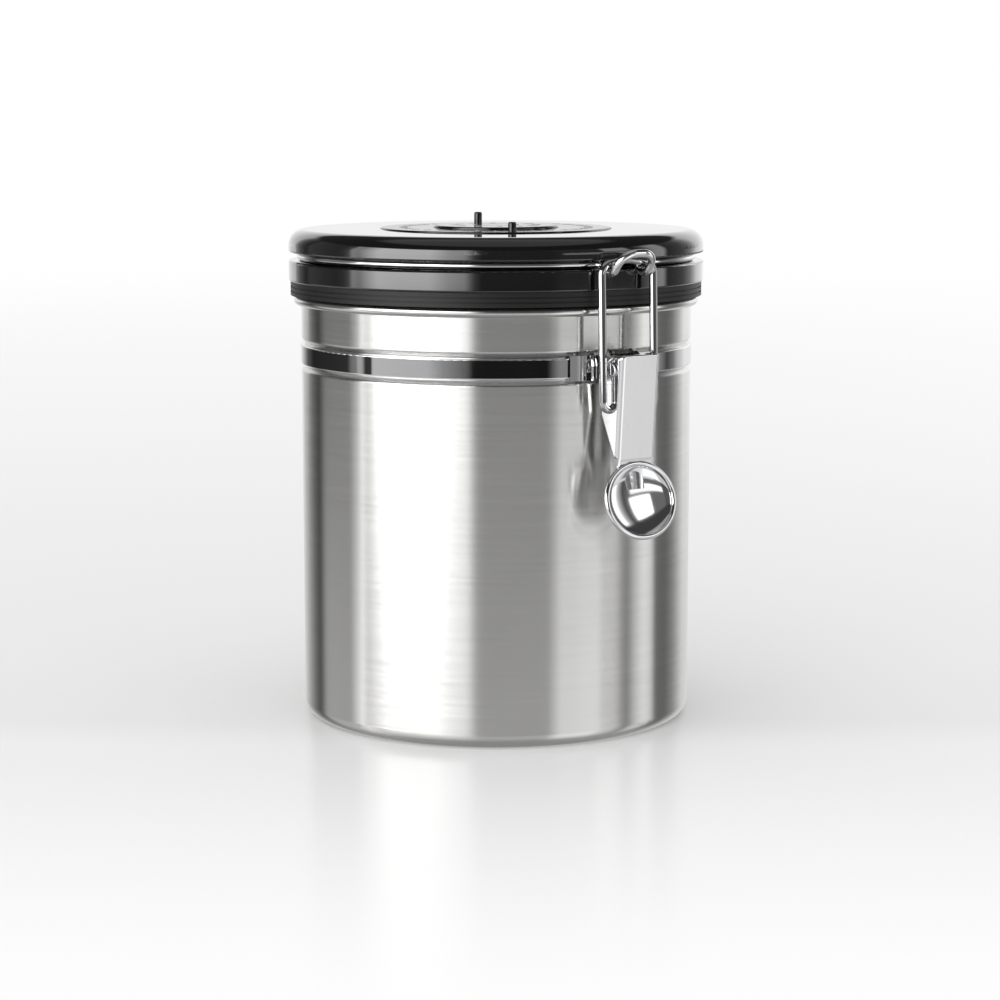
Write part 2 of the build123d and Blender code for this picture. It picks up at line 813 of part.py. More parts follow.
# Valve housing: a flanged cup, open both ways, with the vented web across it
housing_bore = housing_radius - housing_wall
web_bottom = plug_bottom + grille_thickness + filter_thickness + 2 * running_gap
web_top = web_bottom + housing_web
with BuildPart() as valve_housing:
    with BuildSketch(Plane.XZ):
        with BuildLine():
            Polyline(
                (stem_radius + running_gap, web_bottom),
                (housing_bore, web_bottom),
                (housing_bore, plug_bottom),
                (housing_flange, plug_bottom),
                (housing_flange, plug_bottom + housing_flange_height),
                (housing_radius, plug_bottom + housing_flange_height),
                (housing_radius, plug_bottom + housing_height),
                (housing_bore, plug_bottom + housing_height),
                (housing_bore, web_top),
                (stem_radius + running_gap, web_top),
                close=True,
            )
        make_face()
    revolve(axis=Axis.Z)
    with BuildSketch(Plane.XY.offset(web_bottom)):
        with PolarLocations(vent_circle, vent_count):
            Circle(vent_radius)
    extrude(amount=housing_web, mode=Mode.SUBTRACT)

valve_housing.part.label = "valve_housing"
export_step(valve_housing.part, "parts/valve_housing.step")


# Valve umbrella: a soft dome that covers the vents, held by its bulb
with BuildPart() as valve_umbrella:
    with BuildSketch(Plane.XZ):
        with BuildLine():
            edge_wall = Line((umbrella_radius, web_top), (umbrella_radius, web_top + umbrella_edge))
            dome = TangentArc((0, web_top + umbrella_rise), edge_wall @ 1, tangent=(1, 0))
            Polyline(
                dome @ 0,
                (0, web_bottom - bulb_height),
                (bulb_radius, web_bottom - bulb_height / 2),
                (bulb_radius, web_bottom),
                (stem_radius, web_bottom),
                (stem_radius, web_top),
                edge_wall @ 0,
            )
        make_face()
    revolve(axis=Axis.Z)

valve_umbrella.part.label = "valve_umbrella"
export_step(valve_umbrella.part, "parts/valve_umbrella.step")


# Valve seal: the O-ring between the housing's flange and the lid base
seal_level = plug_bottom + housing_flange_height + seal_wire / 2
with BuildPart() as valve_seal:
    with BuildSketch(Plane.XZ):
        with Locations((housing_radius + seal_wire / 2, seal_level)):
            Circle(seal_wire / 2 - seat_gap)
    revolve(axis=Axis.Z)

valve_seal.part.label = "valve_seal"
export_step(valve_seal.part, "parts/valve_seal.step")


# Valve filter: a felt ring between the web and the grille
with BuildPart() as valve_filter:
    with BuildSketch(Plane.XY.offset(web_bottom - running_gap - filter_thickness)):
        Circle(housing_bore - running_gap)
        Circle(filter_hole, mode=Mode.SUBTRACT)
    extrude(amount=filter_thickness)

valve_filter.part.label = "valve_filter"
export_step(valve_filter.part, "parts/valve_filter.step")


# Valve cover: the slotted disc that closes the housing from below
with BuildPart() as valve_cover:
    with BuildSketch(Plane.XY.offset(plug_bottom)):
        Circle(housing_bore - running_gap)
        with GridLocations(0, slot_pitch, 1, slot_count):
            SlotOverall(slot_length, slot_width, mode=Mode.SUBTRACT)
    extrude(amount=grille_thickness)

valve_cover.part.label = "valve_cover"
export_step(valve_cover.part, "parts/valve_cover.step")
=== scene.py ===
import math
import bpy
import bmesh
from mathutils import Matrix, Vector


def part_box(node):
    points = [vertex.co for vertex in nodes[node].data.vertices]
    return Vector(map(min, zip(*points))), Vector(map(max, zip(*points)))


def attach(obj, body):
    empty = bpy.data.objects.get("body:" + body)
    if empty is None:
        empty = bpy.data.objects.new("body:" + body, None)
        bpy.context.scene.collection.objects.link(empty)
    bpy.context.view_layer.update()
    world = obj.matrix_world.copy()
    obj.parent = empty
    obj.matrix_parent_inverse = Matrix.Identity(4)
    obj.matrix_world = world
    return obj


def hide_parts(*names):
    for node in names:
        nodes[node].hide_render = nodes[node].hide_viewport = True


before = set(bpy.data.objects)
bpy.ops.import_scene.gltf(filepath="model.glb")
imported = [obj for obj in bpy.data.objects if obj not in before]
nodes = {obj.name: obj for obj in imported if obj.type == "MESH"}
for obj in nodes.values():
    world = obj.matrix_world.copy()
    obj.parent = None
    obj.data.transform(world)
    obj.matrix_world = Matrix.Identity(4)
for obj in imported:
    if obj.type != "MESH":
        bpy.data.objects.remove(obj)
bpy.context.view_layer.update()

scene = bpy.context.scene
print("frame loaded:", len(nodes), "nodes")


# small helpers for node trees

def addNode(tree, kind, spot, **settings):
    node = tree.nodes.new(kind)
    node.location = spot
    for key, value in settings.items():
        setattr(node, key, value)
    return node


def setInputs(node, **values):
    for key, value in values.items():
        node.inputs[key.replace("_", " ")].default_value = value
    return node


def feed(tree, socket, value):
    # a socket takes a number, a colour or a link from another node
    if isinstance(value, (int, float)):
        socket.default_value = value
    elif isinstance(value, (tuple, list)):
        socket.default_value = (*value[:3], 1.0)
    else:
        tree.links.new(value, socket)


def mathNode(tree, operation, spot, *values):
    node = addNode(tree, "ShaderNodeMath", spot, operation=operation)
    for socket, value in zip(node.inputs, values):
        feed(tree, socket, value)
    return node.outputs[0]


def mapRange(tree, spot, value, fromLow, fromHigh, toLow=0.0, toHigh=1.0):
    node = addNode(tree, "ShaderNodeMapRange", spot, interpolation_type="SMOOTHSTEP")
    tree.links.new(value, node.inputs["Value"])
    setInputs(node, From_Min=fromLow, From_Max=fromHigh, To_Min=toLow, To_Max=toHigh)
    return node.outputs["Result"]


def mixColors(tree, spot, factor, first, second, blend="MIX"):
    node = addNode(tree, "ShaderNodeMix", spot, data_type="RGBA", blend_type=blend, clamp_factor=True)
    # in a mix node, input 0 is the factor, inputs 6 and 7 are the colours and output 2 is their mix
    for index, value in ((0, factor), (6, first), (7, second)):
        feed(tree, node.inputs[index], value)
    return node.outputs[2]


def noiseNode(tree, spot, vector, scale, detail, roughness=0.5):
    node = setInputs(addNode(tree, "ShaderNodeTexNoise", spot), Detail=detail, Roughness=roughness)
    tree.links.new(vector, node.inputs["Vector"])
    feed(tree, node.inputs["Scale"], scale)
    return node


def newGroup(name, inputs, outputs):
    group = bpy.data.node_groups.new(name, "ShaderNodeTree")
    for label, value in inputs:
        group.interface.new_socket(label, in_out="INPUT", socket_type="NodeSocketFloat").default_value = value
    for label in outputs:
        group.interface.new_socket(label, in_out="OUTPUT", socket_type="NodeSocketFloat")
    return group, addNode(group, "NodeGroupInput", (-900, 0)), addNode(group, "NodeGroupOutput", (600, 0))


def placeGroup(tree, group, spot, **values):
    node = addNode(tree, "ShaderNodeGroup", spot)
    node.node_tree = group
    return setInputs(node, **values)


# shared effects

brushForm = {
    "fineDetail": 4.0, "fineRoughness": 0.65, "broadDetail": 2.0, "broadRoughness": 0.5, "broadSqueeze": 0.07,
}


def makeBrushGroup(form):
    # long fine lines that run round the can's axis, from a noise squeezed along Z
    group, take, give = newGroup(
        "brushedLines",
        [("linesPerMetre", 900.0), ("lineReach", 9.0), ("contrast", 0.5)],
        ["lines", "broadTone"],
    )
    coords = addNode(group, "ShaderNodeTexCoord", (-900, 300))
    parts = addNode(group, "ShaderNodeSeparateXYZ", (-700, 300))
    group.links.new(coords.outputs["Object"], parts.inputs[0])
    acrossX = mathNode(group, "MULTIPLY", (-500, 400), parts.outputs["X"], take.outputs["lineReach"])
    acrossY = mathNode(group, "MULTIPLY", (-500, 250), parts.outputs["Y"], take.outputs["lineReach"])
    upZ = mathNode(group, "MULTIPLY", (-500, 100), parts.outputs["Z"], take.outputs["linesPerMetre"])
    softZ = mathNode(group, "MULTIPLY", (-320, 0), upZ, form["broadSqueeze"])
    stretched = []
    for spot, height in (((-320, 300), upZ), ((-140, 0), softZ)):
        joined = addNode(group, "ShaderNodeCombineXYZ", spot)
        for value, socket in ((acrossX, "X"), (acrossY, "Y"), (height, "Z")):
            group.links.new(value, joined.inputs[socket])
        stretched.append(joined.outputs[0])
    fine = noiseNode(group, (-140, 300), stretched[0], 1.0, form["fineDetail"], form["fineRoughness"])
    broad = noiseNode(group, (40, 0), stretched[1], 1.0, form["broadDetail"], form["broadRoughness"])
    centred = mathNode(group, "SUBTRACT", (60, 300), fine.outputs["Fac"], 0.5)
    scaled = mathNode(group, "MULTIPLY", (220, 300), centred, take.outputs["contrast"])
    group.links.new(mathNode(group, "ADD", (380, 300), scaled, 0.5), give.inputs["lines"])
    group.links.new(broad.outputs["Fac"], give.inputs["broadTone"])
    return group


handlingForm = {
    "smudgeDetail": 3.0, "smudgeRoughness": 0.55, "patchFrom": 0.42, "patchTo": 0.68,
    "hairTurn": (0.3, 0.5, 0.7), "hairStretch": (1.0, 0.12, 0.3),
    "hairDetail": 2.0, "hairRoughness": 0.4, "hairWidth": 0.012,
}


def makeHandlingGroup(form):
    # faint smudges and a few hair scratches, as roughness and as a height
    group, take, give = newGroup(
        "handlingMarks",
        [("smudgeSize", 40.0), ("smudgeAmount", 0.05), ("scratchScale", 260.0)],
        ["roughnessShift", "scratches"],
    )
    coords = addNode(group, "ShaderNodeTexCoord", (-900, 300))
    smudge = noiseNode(group, (-500, 300), coords.outputs["Object"], take.outputs["smudgeSize"],
                       form["smudgeDetail"], form["smudgeRoughness"])
    patches = mapRange(group, (-300, 300), smudge.outputs["Fac"], form["patchFrom"], form["patchTo"])
    shift = mathNode(group, "MULTIPLY", (-100, 300), patches, take.outputs["smudgeAmount"])
    group.links.new(shift, give.inputs["roughnessShift"])
    stretch = addNode(group, "ShaderNodeMapping", (-700, -50))
    setInputs(stretch, Rotation=form["hairTurn"], Scale=form["hairStretch"])
    group.links.new(coords.outputs["Object"], stretch.inputs["Vector"])
    hair = noiseNode(group, (-500, -50), stretch.outputs[0], take.outputs["scratchScale"],
                     form["hairDetail"], form["hairRoughness"])
    centred = mathNode(group, "SUBTRACT", (-300, -50), hair.outputs["Fac"], 0.5)
    ridge = mathNode(group, "ABSOLUTE", (-100, -50), centred)
    hairs = mapRange(group, (100, -50), ridge, 0.0, form["hairWidth"], 1.0, 0.0)
    group.links.new(hairs, give.inputs["scratches"])
    return group


grainForm = {
    "grainDetail": 3.0, "grainRoughness": 0.6, "cloudScale": 60.0, "cloudDetail": 2.0, "cloudRoughness": 0.5,
}


def makeGrainGroup(form):
    # the fine orange-peel or pebble of a moulded face
    group, take, give = newGroup(
        "mouldedGrain", [("grainScale", 2500.0), ("toneSpread", 0.1)], ["grain", "tone"])
    coords = addNode(group, "ShaderNodeTexCoord", (-900, 200))
    grain = noiseNode(group, (-500, 200), coords.outputs["Object"], take.outputs["grainScale"],
                      form["grainDetail"], form["grainRoughness"])
    cloud = noiseNode(group, (-500, -100), coords.outputs["Object"], form["cloudScale"],
                      form["cloudDetail"], form["cloudRoughness"])
    centred = mathNode(group, "SUBTRACT", (-300, -100), cloud.outputs["Fac"], 0.5)
    shift = mathNode(group, "MULTIPLY", (-100, -100), centred, take.outputs["toneSpread"])
    group.links.new(mathNode(group, "ADD", (100, -100), shift, 1.0), give.inputs["tone"])
    group.links.new(grain.outputs["Fac"], give.inputs["grain"])
    return group


brushGroup = makeBrushGroup(brushForm)
handlingGroup = makeHandlingGroup(handlingForm)
grainGroup = makeGrainGroup(grainForm)
print("effect groups made")


def newMaterial(name):
    material = bpy.data.materials.new(name)
    material.use_nodes = True
    tree = material.node_tree
    return material, tree, tree.nodes["Principled BSDF"]


def addBump(tree, shader, height, strength, distance, spot=(-250, -300), under=None):
    bump = setInputs(addNode(tree, "ShaderNodeBump", spot), Strength=strength, Distance=distance)
    tree.links.new(height, bump.inputs["Height"])
    if under is not None:
        tree.links.new(under, bump.inputs["Normal"])
    tree.links.new(bump.outputs[0], shader.inputs["Normal"])
    return bump.outputs[0]


def addMarks(tree, spot, look):
    return placeGroup(tree, handlingGroup, spot, smudgeSize=look["smudgeSize"],
                      smudgeAmount=look["smudgeAmount"], scratchScale=look["scratchScale"])


def addGrain(tree, shader, color, look):
    # the moulded grain, and a base colour that varies with its tone
    grain = placeGroup(tree, grainGroup, (-900, 200), grainScale=look["grainScale"],
                       toneSpread=look["toneSpread"])
    tinted = mixColors(tree, (-450, 250), 1.0, color, grain.outputs["tone"], "MULTIPLY")
    tree.links.new(tinted, shader.inputs["Base Color"])
    return grain


def spreadRoughness(tree, spot, pattern, look):
    # a roughness that varies with a pattern about its middle
    spread = look["roughnessSpread"]
    return mathNode(tree, "MULTIPLY_ADD", spot, pattern, spread, look["roughness"] - spread / 2)


# finishes

canSteelLook = {
    "lightColor": (0.725, 0.722, 0.708), "darkColor": (0.60, 0.597, 0.585),
    "broadShare": 0.4, "linesShare": 0.6,
    "roughness": 0.2, "roughnessSpread": 0.05, "anisotropy": 1.0, "anisotropyTurn": 0.25,
    "linesPerMetre": 1000.0, "lineReach": 30.0, "lineContrast": 1.6, "bump": 0.025, "bumpDepth": 0.00003,
    "smudgeSize": 22.0, "smudgeAmount": 0.012, "scratchScale": 300.0,
}
rimSteelLook = {**canSteelLook, "roughness": 0.17, "anisotropy": 0.3, "bump": 0.02}
screwLook = {**canSteelLook, "roughness": 0.32, "anisotropy": 0.0, "linesPerMetre": 500.0, "lineReach": 500.0}


def makeBrushedSteel(name, look):
    material, tree, shader = newMaterial(name)
    brush = placeGroup(tree, brushGroup, (-900, 200), linesPerMetre=look["linesPerMetre"],
                       lineReach=look["lineReach"], contrast=look["lineContrast"])
    marks = addMarks(tree, (-900, -150), look)
    lines = mathNode(tree, "MULTIPLY", (-850, 450), brush.outputs["lines"], look["linesShare"])
    tone = mathNode(tree, "MULTIPLY_ADD", (-700, 350), brush.outputs["broadTone"], look["broadShare"], lines)
    color = mixColors(tree, (-450, 300), tone, look["darkColor"], look["lightColor"])
    tree.links.new(color, shader.inputs["Base Color"])
    rough = spreadRoughness(tree, (-500, 50), brush.outputs["lines"], look)
    handled = mathNode(tree, "ADD", (-300, 50), rough, marks.outputs["roughnessShift"])
    tree.links.new(handled, shader.inputs["Roughness"])
    setInputs(shader, Metallic=1.0, Anisotropic=look["anisotropy"],
              Anisotropic_Rotation=look["anisotropyTurn"])
    tangent = addNode(tree, "ShaderNodeTangent", (-250, -500), direction_type="RADIAL", axis="Z")
    tree.links.new(tangent.outputs[0], shader.inputs["Tangent"])
    addBump(tree, shader, brush.outputs["lines"], look["bump"], look["bumpDepth"])
    return material


canSteel = makeBrushedSteel("canSteel", canSteelLook)
rimSteel = makeBrushedSteel("rimSteel", rimSteelLook)
screwSteel = makeBrushedSteel("screwSteel", screwLook)

polishedLook = {
    "color": (0.80, 0.80, 0.81), "scratchTone": 0.96,
    "smudgeSize": 55.0, "smudgeAmount": 0.02, "scratchScale": 420.0,
    "scratchBump": 0.015, "scratchDepth": 0.00002, "waveScale": 55.0, "waveDetail": 1.0, "waveDepth": 0.0004,
}
bandLook = {**polishedLook, "roughness": 0.03, "wave": 0.12}
wireLook = {**polishedLook, "roughness": 0.05, "wave": 0.04}
leverLook = {**polishedLook, "roughness": 0.07, "wave": 0.15}
# painted shade: the link's wire is a darker copy of the wire steel, standing in for the darker reflections it
# shows
linkShadedLook = {**wireLook, "color": (0.50, 0.50, 0.51)}


def makePolishedSteel(name, look):
    material, tree, shader = newMaterial(name)
    marks = addMarks(tree, (-900, 0), look)
    scratched = [part * look["scratchTone"] for part in look["color"]]
    color = mixColors(tree, (-450, 250), marks.outputs["scratches"], look["color"], scratched)
    tree.links.new(color, shader.inputs["Base Color"])
    rough = mathNode(tree, "ADD", (-450, 50), marks.outputs["roughnessShift"], look["roughness"])
    tree.links.new(rough, shader.inputs["Roughness"])
    setInputs(shader, Metallic=1.0)
    coords = addNode(tree, "ShaderNodeTexCoord", (-900, -350))
    rolled = noiseNode(tree, (-700, -350), coords.outputs["Object"], look["waveScale"], look["waveDetail"])
    under = addBump(tree, shader, rolled.outputs["Fac"], look["wave"], look["waveDepth"], spot=(-500, -350))
    addBump(tree, shader, marks.outputs["scratches"], look["scratchBump"], look["scratchDepth"], under=under)
    return material


bandSteel = makePolishedSteel("bandSteel", bandLook)
wireSteel = makePolishedSteel("wireSteel", wireLook)
leverSteel = makePolishedSteel("leverSteel", leverLook)
linkShadedSteel = makePolishedSteel("linkShadedSteel", linkShadedLook)

glossBlackLook = {
    "color": (0.004, 0.004, 0.0045), "roughness": 0.06, "ior": 1.5, "coat": 1.0, "coatRoughness": 0.02,
    "grainScale": 900.0, "toneSpread": 0.3, "grainBump": 0.012, "grainDepth": 0.00003,
    "smudgeSize": 30.0, "smudgeAmount": 0.03, "scratchScale": 500.0,
    "scratchBump": 0.04, "scratchDepth": 0.00001,
}
dialGlossLook = {**glossBlackLook, "roughness": 0.11, "coat": 0.2, "grainBump": 0.03}


def makeGlossBlack(name, look):
    material, tree, shader = newMaterial(name)
    grain = addGrain(tree, shader, look["color"], look)
    marks = addMarks(tree, (-900, -100), look)
    rough = mathNode(tree, "ADD", (-450, 50), marks.outputs["roughnessShift"], look["roughness"])
    tree.links.new(rough, shader.inputs["Roughness"])
    setInputs(shader, IOR=look["ior"], Coat_Weight=look["coat"], Coat_Roughness=look["coatRoughness"])
    under = addBump(tree, shader, grain.outputs["grain"], look["grainBump"], look["grainDepth"],
                    spot=(-500, -300))
    addBump(tree, shader, marks.outputs["scratches"], look["scratchBump"], look["scratchDepth"], under=under)
    return material


lidGloss = makeGlossBlack("lidGloss", glossBlackLook)
dialGloss = makeGlossBlack("dialGloss", dialGlossLook)

softLook = {
    "ior": 1.45, "subsurface": 0.0, "subsurfaceScale": 0.001, "roughnessSpread": 0.12,
    "grainScale": 2200.0, "toneSpread": 0.35, "grainBump": 0.12, "grainDepth": 0.00005,
}
sealLook = {**softLook, "color": (0.014, 0.014, 0.015), "roughness": 0.42, "ior": 1.38}
valveLook = {**softLook, "color": (0.045, 0.045, 0.05), "roughness": 0.45}
siliconeLook = {**softLook, "color": (0.55, 0.55, 0.56), "roughness": 0.4, "subsurface": 0.2}


def makeMoulded(name, look):
    material, tree, shader = newMaterial(name)
    grain = addGrain(tree, shader, look["color"], look)
    rough = spreadRoughness(tree, (-450, 50), grain.outputs["grain"], look)
    tree.links.new(rough, shader.inputs["Roughness"])
    setInputs(shader, IOR=look["ior"], Subsurface_Weight=look["subsurface"],
              Subsurface_Scale=look["subsurfaceScale"])
    addBump(tree, shader, grain.outputs["grain"], look["grainBump"], look["grainDepth"])
    return material


sealRubber = makeMoulded("sealRubber", sealLook)
valvePlastic = makeMoulded("valvePlastic", valveLook)
valveSilicone = makeMoulded("valveSilicone", siliconeLook)

feltLook = {
    "color": (0.78, 0.76, 0.72), "shade": (0.55, 0.53, 0.49), "roughness": 0.9, "sheen": 0.3,
    "fibreScale": 1400.0, "fibreEdge": 0.25, "bendScale": 350.0, "bendDetail": 2.0, "bendAmount": 0.004,
    "bump": 0.7, "bumpDepth": 0.0001,
}


def makeFelt(name, look):
    material, tree, shader = newMaterial(name)
    coords = addNode(tree, "ShaderNodeTexCoord", (-1100, 100))
    bend = noiseNode(tree, (-900, -50), coords.outputs["Object"], look["bendScale"], look["bendDetail"])
    swirl = mixColors(tree, (-700, 100), look["bendAmount"],
                      coords.outputs["Object"], bend.outputs["Color"], "ADD")
    fibres = addNode(tree, "ShaderNodeTexVoronoi", (-500, 100), feature="DISTANCE_TO_EDGE")
    setInputs(fibres, Scale=look["fibreScale"])
    tree.links.new(swirl, fibres.inputs["Vector"])
    height = mapRange(tree, (-300, 0), fibres.outputs["Distance"], 0.0, look["fibreEdge"])
    color = mixColors(tree, (-100, 200), height, look["shade"], look["color"])
    tree.links.new(color, shader.inputs["Base Color"])
    setInputs(shader, Roughness=look["roughness"], Sheen_Weight=look["sheen"])
    addBump(tree, shader, height, look["bump"], look["bumpDepth"])
    return material


filterFelt = makeFelt("filterFelt", feltLook)

inkLook = {
    "color": (0.62, 0.62, 0.62), "roughness": 0.5, "roughnessSpread": 0.1,
    "grainScale": 5000.0, "toneSpread": 0.2,
}


def makeInk(name, look):
    material, tree, shader = newMaterial(name)
    grain = addGrain(tree, shader, look["color"], look)
    rough = spreadRoughness(tree, (-450, 50), grain.outputs["grain"], look)
    tree.links.new(rough, shader.inputs["Roughness"])
    return material


dialInk = makeInk("dialInk", inkLook)

finishes = {
    "can_body": canSteel, "neck_band": bandSteel, "latch_bracket": bandSteel, "hinge_bracket": bandSteel,
    "lever_pin": wireSteel, "latch_lever": leverSteel, "latch_link": linkShadedSteel, "bail_ring": wireSteel,
    "lid_cover": lidGloss, "lid_base": lidGloss, "lid_gasket": sealRubber, "lid_screws": screwSteel,
    "date_dial": dialGloss, "month_dial": dialGloss, "dial_cap": dialGloss,
    "valve_housing": valvePlastic, "valve_umbrella": valveSilicone, "valve_seal": valveSilicone,
    "valve_filter": filterFelt, "valve_cover": valvePlastic,
}
for nodeName, material in finishes.items():
    for materialSlot in nodes[nodeName].material_slots:
        materialSlot.material = material
print("finishes set on", len(finishes), "nodes")


def addPiece(name, shape):
    mesh = bpy.data.meshes.new(name)
    shape.to_mesh(mesh)
    shape.free()
    piece = bpy.data.objects.new(name, mesh)
    scene.collection.objects.link(piece)
    return piece


# numbers on the dials

numberForm = {"extrude": 0.00002, "curveSteps": 3, "lift": 0.00003, "firstAngle": math.radians(-90)}
dateLook = {"count": 31, "ringRadius": 0.0265, "height": 0.0034, "top": 0.14055}
monthLook = {"count": 12, "ringRadius": 0.0115, "height": 0.0036, "top": 0.1412}


def makeNumbers(name, look, form):
    # plain numbers round a dial, each with its foot towards the middle
    whole = bmesh.new()
    reach = look["ringRadius"]
    for number in range(1, look["count"] + 1):
        curve = bpy.data.curves.new("digits", "FONT")
        curve.body = str(number)
        curve.size = look["height"]
        curve.align_x = "CENTER"
        curve.align_y = "CENTER"
        curve.extrude = form["extrude"]
        curve.resolution_u = form["curveSteps"]
        carrier = bpy.data.objects.new("digits", curve)
        scene.collection.objects.link(carrier)
        bpy.context.view_layer.update()
        digits = bpy.data.meshes.new_from_object(carrier)
        angle = form["firstAngle"] - (number - 1) * 2 * math.pi / look["count"]
        turn = Matrix.Rotation(angle - math.pi / 2, 4, "Z")
        spot = (reach * math.cos(angle), reach * math.sin(angle), look["top"] + form["lift"])
        digits.transform(Matrix.Translation(spot) @ turn)
        whole.from_mesh(digits)
        bpy.data.objects.remove(carrier)
        bpy.data.curves.remove(curve)
        bpy.data.meshes.remove(digits)
    piece = addPiece(name, whole)
    piece.data.materials.append(dialInk)
    return piece


dateNumbers = makeNumbers("dateNumbers", dateLook, numberForm)
monthNumbers = makeNumbers("monthNumbers", monthLook, numberForm)
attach(dateNumbers, "outer_dial")
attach(monthNumbers, "inner_dial")
print("dial numbers made")


# turned pieces

def makeTurned(name, profile, segments, closed=False):
    # a profile of (radius, level) points is carried round the Z axis,
    # and a radius of 0 closes the end in one point
    shape = bmesh.new()
    rings = []
    for radius, level in profile:
        if radius == 0:
            rings.append([shape.verts.new((0, 0, level))] * segments)
            continue
        ring = []
        for index in range(segments):
            turn = 2 * math.pi * index / segments
            ring.append(shape.verts.new((radius * math.cos(turn), radius * math.sin(turn), level)))
        rings.append(ring)
    pairs = list(zip(rings, rings[1:]))
    if closed:
        pairs.append((rings[-1], rings[0]))
    for lower, upper in pairs:
        for index in range(segments):
            beyond = (index + 1) % segments
            corners = [lower[index], lower[beyond], upper[beyond], upper[index]]
            shape.faces.new(list(dict.fromkeys(corners))).smooth = True
    bmesh.ops.recalc_face_normals(shape, faces=shape.faces)
    return addPiece(name, shape)


# the rolled rim of the can: a fine smooth bead over the solid's own, from and to in degrees round its core,
# its two ends tucked into the wall
rimLook = {
    "ringRadius": 0.0567, "level": 0.1201, "beadRadius": 0.00134, "from": 158, "to": -128, "steps": 44,
    "tuck": 0.0001, "tuckPower": 6, "coreShare": 0.7, "coreSteps": 11, "segments": 480,
}


def makeRimRoll(look):
    profile = []
    for step in range(look["steps"] + 1):
        share = step / look["steps"]
        angle = math.radians(look["from"] + (look["to"] - look["from"]) * share)
        bead = look["beadRadius"] - look["tuck"] * abs(2 * share - 1) ** look["tuckPower"]
        profile.append((look["ringRadius"] + bead * math.cos(angle), look["level"] + bead * math.sin(angle)))
    core = look["beadRadius"] * look["coreShare"]
    for step in range(look["coreSteps"] + 1):
        share = step / look["coreSteps"]
        angle = math.radians(look["to"] + (look["from"] - look["to"]) * share)
        profile.append((look["ringRadius"] + core * math.cos(angle), look["level"] + core * math.sin(angle)))
    piece = makeTurned("rimRoll", profile, look["segments"], closed=True)
    piece.data.materials.append(rimSteel)
    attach(piece, "canister")


makeRimRoll(rimLook)

# the polished hollow of the thumb tab: a smooth skin just over the solid's own,
# its edge tucked into the rolled lip
bowlLook = {
    "centre": (0.0, -0.0682, 0.0694), "tilt": 14, "halfWidth": 0.0108, "halfLength": 0.0096,
    "depth": 0.0023, "lift": 0.00008, "skin": 0.0003, "edgeShare": 0.985, "rings": 28, "segments": 128,
}


def makeTabBowl(look):
    # half an ellipsoid, measured from the lip's plane
    upper = []
    for ring in range(look["rings"] + 1):
        turn = math.asin(look["edgeShare"]) * ring / look["rings"]
        upper.append((look["halfWidth"] * math.sin(turn), look["lift"] - look["depth"] * math.cos(turn)))
    lower = [(radius, level - look["skin"]) for radius, level in reversed(upper)]
    piece = makeTurned("tabBowl", upper + lower, look["segments"])
    stretch = Matrix.Diagonal((1.0, look["halfLength"] / look["halfWidth"], 1.0, 1.0))
    lean = Matrix.Rotation(math.radians(90 - look["tilt"]), 4, "X")
    piece.data.transform(Matrix.Translation(look["centre"]) @ lean @ stretch)
    piece.data.materials.append(leverSteel)
    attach(piece, "lever")


makeTabBowl(bowlLook)

# the four screws of the lid, with a cross recess and a thread, each turned its own way
screwForm = {
    "circle": 0.036, "firstAngle": 45, "count": 4, "seat": 0.00001, "turnShare": 1.7,
    "headRadius": 0.00258, "headHeight": 0.00138, "headEdge": 0.0004, "edgeSteps": 6,
    "coreRadius": 0.00112, "threadRadius": 0.00138, "pitch": 0.00075, "length": 0.0103,
    "recessWidth": 0.0009, "recessReach": 0.0018, "recessDepth": 0.001, "recessOver": 0.0005,
    "reachTaper": 0.45, "widthTaper": 0.8, "segments": 40, "sharpAngle": 35,
}


def screwProfile(look):
    # from the middle of the head, round its edge and along the thread to the tip
    profile = [(0, 0)]
    edge = look["headEdge"]
    for step in range(look["edgeSteps"] + 1):
        turn = math.pi / 2 * step / look["edgeSteps"]
        profile.append((look["headRadius"] - edge + edge * math.sin(turn), edge - edge * math.cos(turn)))
    profile += [(look["headRadius"], look["headHeight"]), (look["coreRadius"], look["headHeight"])]
    level = look["headHeight"] + look["pitch"]
    while level < look["length"] - 2 * look["pitch"]:
        profile += [(look["coreRadius"], level), (look["threadRadius"], level + look["pitch"] / 2)]
        level += look["pitch"]
    return profile + [(look["coreRadius"], level), (0, look["length"])]


def recessCutter(look, alongX):
    # one arm of the cross, narrower at its floor
    shape = bmesh.new()
    bmesh.ops.create_cube(shape, size=2.0)
    for vert in shape.verts:
        deep = vert.co.z > 0
        reach = look["recessReach"] * (look["reachTaper"] if deep else 1.0)
        width = look["recessWidth"] / 2 * (look["widthTaper"] if deep else 1.0)
        size = (reach, width) if alongX else (width, reach)
        level = look["recessDepth"] if deep else -look["recessOver"]
        vert.co = (vert.co.x * size[0], vert.co.y * size[1], level)
    return addPiece("recess", shape)


